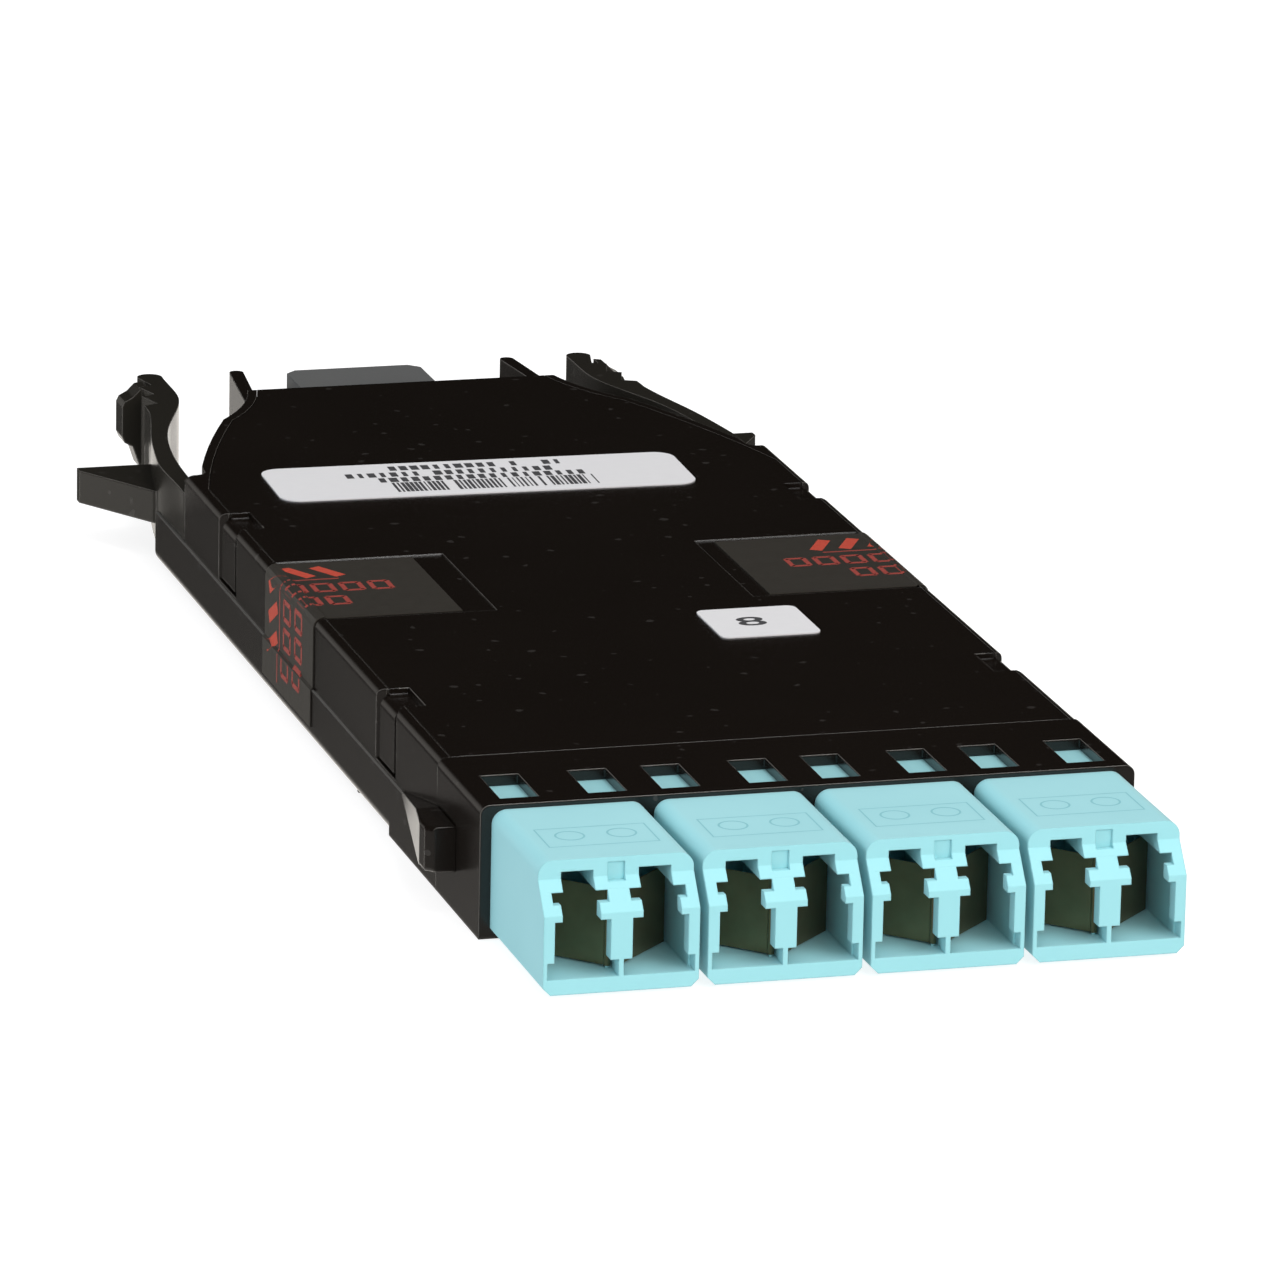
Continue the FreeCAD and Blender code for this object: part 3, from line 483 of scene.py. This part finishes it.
def label_number():
    """A plain number on the small label."""
    low, high = (Vector(corner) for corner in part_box("polarity_label"))
    curve = bpy.data.curves.new("label_number", "FONT")
    curve.body = "8"
    curve.size = NUMBER_SIZE
    curve.align_x = "CENTER"
    curve.align_y = "CENTER"
    curve.offset = NUMBER_WEIGHT
    writer = bpy.data.objects.new("number_maker", curve)
    bpy.context.scene.collection.objects.link(writer)
    bpy.context.view_layer.update()
    made = writer.evaluated_get(bpy.context.evaluated_depsgraph_get())
    mesh = bpy.data.meshes.new_from_object(made)
    bpy.data.objects.remove(writer)
    mesh.name = "label_number"
    centre = (low + high) / 2
    place = Matrix.Translation((centre.x + NUMBER_SHIFT, centre.y, high.z + INK_LIFT))
    mesh.transform(place @ Matrix.Diagonal(NUMBER_STRETCH))
    keep_piece(bpy.data.objects.new("label_number", mesh), black_ink, "case")


FILM_THICK = 0.10 * MM
FILM_LIFT = 0.02 * MM
FILM_RECESS = 0.12 * MM
LEDGE_STEP = 0.2 * MM
CASE_ROUND = 0.8 * MM
CASE_SEAM = 1.1 * MM
ROUND_CUTS = 4
STROKE_CUT = 0.25 * MM


class SealSheet:
    """Flat drawing on a seal: s runs from the inner end over the edge and down, y along the case."""

    def __init__(self, node, sign):
        low, high = (Vector(corner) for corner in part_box(node))
        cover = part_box("top_cover")[1][2]
        self.sign = sign
        self.y_high = high.y
        half = max(abs(low.x), abs(high.x)) - FILM_THICK - FILM_LIFT
        inner = min(abs(low.x), abs(high.x))
        side = half - LEDGE_STEP
        grow = FILM_THICK + FILM_LIFT + INK_LIFT
        top = cover + grow
        turns = (math.radians(90.0 * k / ROUND_CUTS) for k in range(ROUND_CUTS + 1))
        arc = [(side - CASE_ROUND + (CASE_ROUND + grow) * math.sin(a),
                cover - CASE_ROUND + (CASE_ROUND + grow) * math.cos(a)) for a in turns]
        self.path = [(inner, top - FILM_RECESS), (half - CASE_SEAM - FILM_RECESS, top - FILM_RECESS),
                     (half - CASE_SEAM, top)] + arc
        self.path += [(side + grow, LEDGE_HEIGHT + LEDGE_STEP), (half + grow, LEDGE_HEIGHT),
                      (half + grow, low.z)]

    def point(self, s, y):
        """Place on the film at a distance s along its section."""
        left = s
        for (x0, z0), (x1, z1) in zip(self.path, self.path[1:]):
            run = math.hypot(x1 - x0, z1 - z0)
            if left <= run:
                t = left / run
                return Vector((self.sign * (x0 + (x1 - x0) * t), y, z0 + (z1 - z0) * t))
            left -= run
        x, z = self.path[-1]
        return Vector((self.sign * x, y, z))

    def length(self):
        """Length of the section from the inner end to the lower one."""
        return sum(math.hypot(b[0] - a[0], b[1] - a[1]) for a, b in zip(self.path, self.path[1:]))


def strokes_piece(name, sheet, strokes, material):
    """Strokes (s0, y0, s1, y1, width) drawn on a film as narrow strips that follow it."""
    corners = []
    faces = []
    for s0, y0, s1, y1, width in strokes:
        length = math.hypot(s1 - s0, y1 - y0)
        across = ((y1 - y0) / length * width / 2, -(s1 - s0) / length * width / 2)
        cuts = max(1, int(length / STROKE_CUT))
        start = len(corners)
        for k in range(cuts + 1):
            t = k / cuts
            s = s0 + (s1 - s0) * t
            y = y0 + (y1 - y0) * t
            corners.append(sheet.point(s + across[0], y + across[1]))
            corners.append(sheet.point(s - across[0], y - across[1]))
        for k in range(cuts):
            a = start + 2 * k
            faces.append((a, a + 1, a + 3, a + 2) if sheet.sign > 0 else (a, a + 2, a + 3, a + 1))
    return mesh_piece(name, corners, faces, material)


SLASH_LEAN = 0.55
BOX_SHARE = 0.62


def slash_row(start, end, y, height, pitch, width):
    """Leaning bars side by side."""
    strokes = []
    s = start
    while s + SLASH_LEAN * height < end:
        strokes.append((s, y - height / 2, s + SLASH_LEAN * height, y + height / 2, width))
        s += pitch
    return strokes


def box_row(start, end, y, height, pitch, width):
    """Small open boxes side by side."""
    strokes = []
    s = start
    length = pitch * BOX_SHARE
    low = y - height / 2
    high = y + height / 2
    while s + length < end:
        strokes.append((s, low, s, high, width))
        strokes.append((s + length, low, s + length, high, width))
        strokes.append((s, high, s + length, high, width))
        strokes.append((s, low, s + length, low, width))
        s += pitch
    return strokes


# Print of a seal: where a row starts from the print's own start, how far it lies from the rear end
SLASHES_START = -0.4 * MM
SLASHES_BACK = 3.0 * MM
SLASHES = {"height": 3.0 * MM, "pitch": 2.6 * MM, "width": 1.1 * MM}
UNDERLINE_BACK = 5.3 * MM
UNDERLINE_WIDTH = 0.28 * MM
UNDERLINE_MARGIN = 0.6 * MM
BOX_ROWS = ((-3.8 * MM, 7.9 * MM), (0.9 * MM, 11.9 * MM))
BOXES = {"height": 2.3 * MM, "pitch": 2.5 * MM, "width": 0.46 * MM}
PRINT_MARGIN = 0.4 * MM


def seal_print(node, sign, begins):
    """Plain red bars and boxes over a seal's edge."""
    sheet = SealSheet(node, sign)
    full = sheet.length()
    rear = sheet.y_high
    end = full - PRINT_MARGIN
    bold = slash_row(begins + SLASHES_START, end, rear - SLASHES_BACK, **SLASHES)
    strokes_piece(node + "_bold_bars", sheet, bold, red_ink)
    line = rear - UNDERLINE_BACK
    fine = [(begins, line, full - UNDERLINE_MARGIN, line, UNDERLINE_WIDTH)]
    for start, back in BOX_ROWS:
        fine += box_row(begins + start, end, rear - back, **BOXES)
    strokes_piece(node + "_fine_bars", sheet, fine, faint_red_ink)


# Painted shade marks on an adapter's nose, placed from its middle and its front tip
PROBE = (1.5 * MM, 3.0 * MM)
PROBE_RISE = 1.0 * MM
LEVEL_FACE = 0.9
MARK_LIFT = 0.01 * MM
RING_CUTS = 24
RING_RADII = (1.05 * MM, 1.22 * MM)
RING_ASIDE = 2.1 * MM
RING_BACK = 8.0 * MM
PANEL_HALF = 4.5 * MM
PANEL_LINE = 0.12 * MM
PANEL_NEAR = 5.4 * MM
PANEL_FAR = 10.0 * MM


def ring(corners, faces, x, y, z):
    """Adds one flat ring."""
    start = len(corners)
    for k in range(RING_CUTS):
        a = math.radians(360.0 / RING_CUTS * k)
        for radius in RING_RADII:
            corners.append((x + radius * math.cos(a), y + radius * math.sin(a), z))
    for k in range(RING_CUTS):
        a = start + 2 * k
        b = start + 2 * ((k + 1) % RING_CUTS)
        faces.append((a, a + 1, b + 1, b))


def adapter_marks():
    """Painted shade on top of each front adapter's nose: darker rings where the ejector rings are
    and a darker outline along a low panel's edges.
    """
    names = [part["node"] for part in frame["record"]["subparts"]
             if part["material_slot"] == "adapter_aqua"]
    bpy.context.view_layer.update()
    for name in names:
        low, high = (Vector(corner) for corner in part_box(name))
        middle = (low.x + high.x) / 2
        above = Vector((middle + PROBE[0], low.y + PROBE[1], high.z + PROBE_RISE))
        found, spot, facing = frame["nodes"][name].ray_cast(above, Vector((0, 0, -1)))[:3]
        if not found or facing.z < LEVEL_FACE:
            continue
        rise = spot.z + MARK_LIFT
        corners = []
        faces = []
        for side in (-1, 1):
            ring(corners, faces, middle + side * RING_ASIDE, low.y + RING_BACK, rise)
        near = low.y + PANEL_NEAR
        far = low.y + PANEL_FAR
        for x0, y0, x1, y1 in ((-PANEL_HALF, near, -PANEL_HALF + PANEL_LINE, far),
                               (PANEL_HALF - PANEL_LINE, near, PANEL_HALF, far),
                               (-PANEL_HALF, near - PANEL_LINE, PANEL_HALF, near),
                               (-PANEL_HALF, far, PANEL_HALF, far + PANEL_LINE)):
            start = len(corners)
            corners += [(middle + x, y, rise) for x, y in ((x0, y0), (x1, y0), (x1, y1), (x0, y1))]
            faces.append((start, start + 1, start + 2, start + 3))
        mesh_piece(name + "_marks", corners, faces, aqua_painted_shade)


# ---------------------------------------------------------------- stage

CAMERA_PLACE = Vector((-0.21290, -0.75301, 0.22816))
CAMERA_AZIMUTH = math.radians(-16.09)
CAMERA_ELEVATION = math.radians(15.92)
CAMERA_ROLL = math.radians(1.18)
CAMERA_LENS = 267.4


def set_camera():
    """A long lens from the front left, a little above."""
    level_share = math.cos(CAMERA_ELEVATION)
    back = Vector((math.sin(CAMERA_AZIMUTH) * level_share, -math.cos(CAMERA_AZIMUTH) * level_share,
                   math.sin(CAMERA_ELEVATION)))
    level = Vector((0, 0, 1)).cross(back).normalized()
    upright = back.cross(level)
    right = level * math.cos(CAMERA_ROLL) + upright * math.sin(CAMERA_ROLL)
    up = upright * math.cos(CAMERA_ROLL) - level * math.sin(CAMERA_ROLL)
    data = bpy.data.cameras.new("camera")
    data.sensor_width = 36.0
    data.lens = CAMERA_LENS
    data.clip_start = 0.01
    data.clip_end = 20.0
    camera = bpy.data.objects.new("camera", data)
    turn = Matrix((right, up, back)).transposed().to_4x4()
    camera.matrix_world = Matrix.Translation(CAMERA_PLACE) @ turn
    bpy.context.scene.collection.objects.link(camera)
    bpy.context.scene.camera = camera


def stage_plane(name, corners, material):
    mesh = bpy.data.meshes.new(name)
    mesh.from_pydata(corners, [], [tuple(range(len(corners)))])
    plane = bpy.data.objects.new(name, mesh)
    plane.data.materials.append(material)
    bpy.context.scene.collection.objects.link(plane)
    return plane


FLOOR_GLOW = 0.80
FLOOR_LIGHT = 0.40
FLOOR_REACH = 3.0
FLOOR_DROP = 0.05 * MM


def floor_material():
    """White floor that glows to the camera, keeps a soft shadow, and is clear from below."""
    f = Finish("studio_floor")
    path = f.node("ShaderNodeLightPath", {}, {})
    strength = path["Is Camera Ray"] * FLOOR_GLOW + path["Is Diffuse Ray"] * FLOOR_LIGHT
    white = f.blend(f.noise(scale=3.0, detail=1.0), (0.39, 0.39, 0.39, 1), (0.40, 0.40, 0.40, 1))
    matt = f.node("ShaderNodeBsdfDiffuse", {}, {"Color": white})
    glow = f.node("ShaderNodeEmission", {}, {"Color": (1, 1, 1, 1), "Strength": strength})
    both = f.node("ShaderNodeAddShader", {}, {0: matt[0], 1: glow[0]})
    below = f.node("ShaderNodeNewGeometry", {}, {})["Backfacing"]
    clear = f.node("ShaderNodeBsdfTransparent", {}, {})
    shown = f.node("ShaderNodeMixShader", {}, {0: below, 1: both[0], 2: clear[0]})
    f.tree.links.new(shown[0].socket, f.output.inputs["Surface"])
    return f.material


# Levels of the studio: what lights the pieces all round, then what gloss sees by direction
AMBIENT = 0.50
SIDE_LEVEL = 0.05
SKY_LEVEL = 0.004
BACKDROP_LEVEL = 1.8
FRONT_SHARE = 0.12
LOW_SHARE = 0.55
FLANK_LEVEL = 0.45
STRIP_LEVEL = 4.0
GLOSS_TINT = (1.0, 0.955, 0.89, 1)
BACKDROP_HEADING = math.radians(15.0)
# Where each fades: turns from the backdrop's heading in degrees, heights as the upward share
BACKDROP_EDGE = (11.0, 21.0)
FRONT_EDGE = (80.0, 110.0)
LOW_EDGE = (-0.50, -0.25)
HORIZON = (-0.14, -0.03)
# Bright patches that show in rounded edges: fade in from first to second, out from third to last
FLANK_TURN = (-60.0, -50.0, -34.0, -30.0)
FLANK_RISE = (-0.16, -0.08, 0.22, 0.36)
STRIP_TURN = (-88.0, -82.0, -72.0, -66.0)
STRIP_RISE = (-0.40, -0.30, 0.05, 0.15)


class Sky(Finish):
    """The world's tree, read by direction."""

    def __init__(self, world):
        world.use_nodes = True
        self.tree = world.node_tree
        self.tree.nodes.clear()
        self.output = self.tree.nodes.new("ShaderNodeOutputWorld")
        self.place = self.node("ShaderNodeTexCoord", {}, {})["Generated"]

    def step(self, value, edge, first, last):
        """A smooth change from first to last as a value crosses an edge."""
        return self.ramp(value, edge[0], edge[1], first, last, "SMOOTHSTEP")

    def window(self, value, limits):
        """One between the limits, fading out at both ends."""
        return self.step(value, limits[:2], 0.0, 1.0) * self.step(value, limits[2:], 1.0, 0.0)


def turns(limits):
    return tuple(math.radians(limit) for limit in limits)


def set_world():
    """White to the camera. Gloss sees a white backdrop behind, paler below, a dark room above,
    and two bright patches on the left."""
    world = bpy.data.worlds.new("studio")
    bpy.context.scene.world = world
    f = Sky(world)
    path = f.node("ShaderNodeLightPath", {}, {})
    x, y, rise = f.axes()
    heading = (math.sin(BACKDROP_HEADING), math.cos(BACKDROP_HEADING))
    ahead = x * heading[0] + y * heading[1]
    aside = x * heading[1] - y * heading[0]
    turn = f.maths("ARCTAN2", aside, ahead)
    off = f.size_of(turn)
    behind = f.step(off, turns(BACKDROP_EDGE), 1.0, 0.0)
    front = f.step(off, turns(FRONT_EDGE), 0.0, FRONT_SHARE)
    low = f.step(rise, LOW_EDGE, LOW_SHARE, 0.0)
    share = f.greater(f.greater(behind, low), front)
    below = share * (BACKDROP_LEVEL - SIDE_LEVEL) + SIDE_LEVEL
    under_horizon = f.step(rise, HORIZON, 1.0, 0.0)
    flank = f.window(turn, turns(FLANK_TURN)) * f.window(rise, FLANK_RISE)
    strip = f.window(turn, turns(STRIP_TURN)) * f.window(rise, STRIP_RISE)
    gloss = (under_horizon * (below - SKY_LEVEL) + SKY_LEVEL
             + flank * FLANK_LEVEL + strip * STRIP_LEVEL)
    shown = f.greater(path["Is Camera Ray"], path["Is Transmission Ray"])
    level = shown * (1.0 - AMBIENT) + AMBIENT
    level = path["Is Glossy Ray"] * (gloss - level) + level
    tint = f.blend(path["Is Glossy Ray"], (1, 1, 1, 1), GLOSS_TINT)
    background = f.node("ShaderNodeBackground", {}, {"Color": tint, "Strength": level})
    f.tree.links.new(background[0].socket, f.output.inputs["Surface"])


# Lamps: name, place, size, power, colour, and whether gloss shows the lamp itself. Only the key
# does, so that the flat black cover stays black from every side.
LAMPS = (
    ("key", (0.15, -0.18, 0.80), (0.31, 0.31), 2.4, (1.0, 1.0, 1.0), True),
    ("front", (0.20, -0.80, 0.35), (0.7, 0.4), 4.6, (1.0, 0.93, 0.89), False),
    ("left", (-0.80, -0.20, 0.30), (0.5, 0.4), 2.8, (0.95, 1.0, 1.08), False),
)


def lamp(name, place, size, power, colour, in_gloss):
    """A soft rectangular lamp aimed at the middle of the floor."""
    data = bpy.data.lights.new(name, "AREA")
    data.shape = "RECTANGLE"
    data.size, data.size_y = size
    data.energy = power
    data.color = colour
    light = bpy.data.objects.new(name, data)
    light.location = place
    light.rotation_euler = (-Vector(place)).to_track_quat("-Z", "Y").to_euler()
    light.visible_glossy = in_gloss
    bpy.context.scene.collection.objects.link(light)


def set_stage():
    reach = FLOOR_REACH
    corners = [(x, y, -FLOOR_DROP)
               for x, y in ((-reach, -reach), (reach, -reach), (reach, reach), (-reach, reach))]
    floor = stage_plane("floor", corners, floor_material())
    floor.visible_glossy = False
    set_world()
    for values in LAMPS:
        lamp(*values)
    bpy.context.scene.view_settings.view_transform = "Standard"


set_camera()
dress_nodes()
label_print()
label_number()
seal_print("seal_left", -1, 7.8 * MM)
seal_print("seal_right", 1, 8.2 * MM)
adapter_marks()
set_stage()
